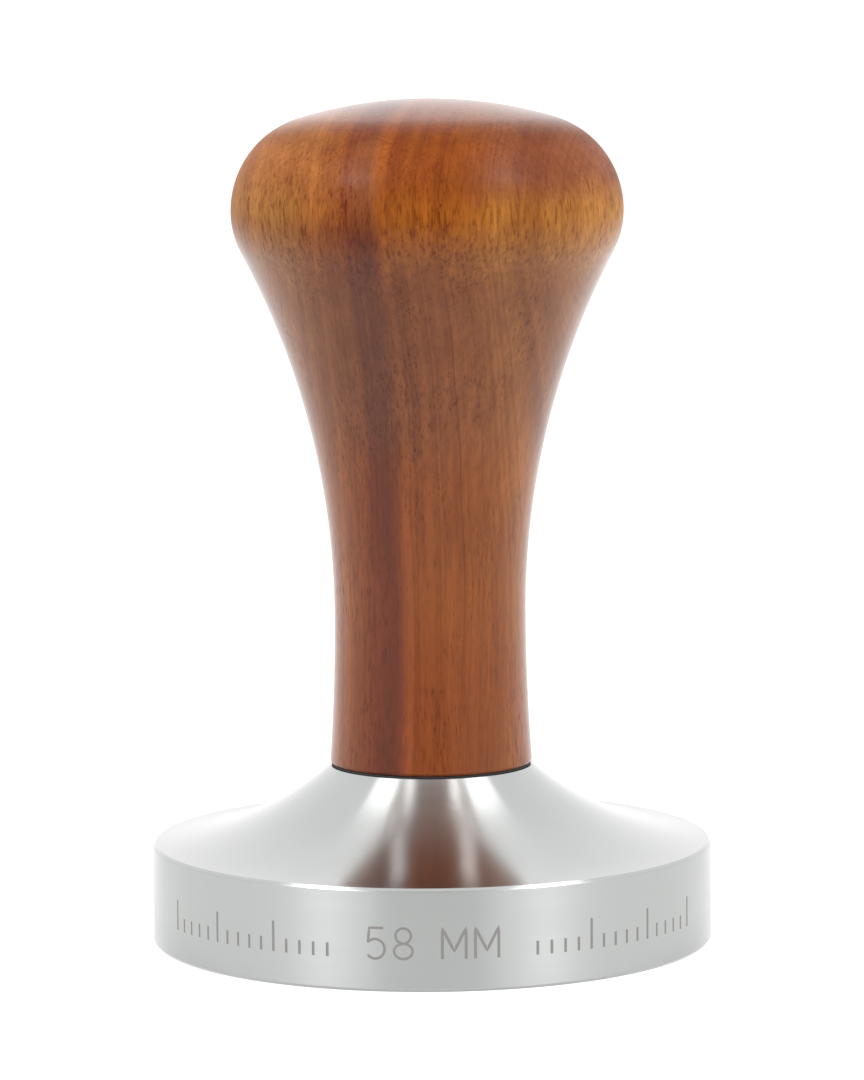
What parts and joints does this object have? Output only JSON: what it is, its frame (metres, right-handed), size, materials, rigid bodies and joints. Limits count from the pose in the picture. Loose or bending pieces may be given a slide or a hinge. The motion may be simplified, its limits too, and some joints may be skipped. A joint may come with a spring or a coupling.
{
  "type": "espresso tamper",
  "caption": "Espresso tamper: a turned steel base with a flat foot and hollow-swept top, and a waisted, domed wooden handle that screws onto it.",
  "frame": {"origin": "centre of the base's flat foot, on the turning axis", "axes": "+Z along the turning axis, up through the handle"},
  "size_m": [0.0584, 0.0584, 0.0875],
  "materials": {
    "base_steel": "fine-turned stainless steel, satin",
    "stud_steel": "rolled thread, plain stainless steel",
    "gasket_rubber": "matt black nitrile rubber",
    "insert_brass": "machined brass",
    "handle_wood": "reddish-brown hardwood, straight grain along the axis, satin lacquer"
  },
  "bodies": {
    "base": {"tamper_base": "base_steel", "joining_stud": "stud_steel"},
    "gasket": {"seat_gasket": "gasket_rubber"},
    "handle": {"wooden_handle": "handle_wood", "threaded_insert": "insert_brass"}
  },
  "joints": [
    {"name": "handle_lift", "type": "slide", "parent": "base", "child": "gasket", "axis": [0, 0, 1], "range_m": [0, 0.0125]},
    {"name": "handle_turn", "type": "hinge", "parent": "gasket", "child": "handle", "pos_m": [0, 0, 0.0185], "axis": [0, 0, 1], "range_deg": [0, 3600]}
  ],
  "couplings": [
    {"joint": "handle_lift", "follows": "handle_turn", "m_per_rad": 0.00019894}
  ]
}
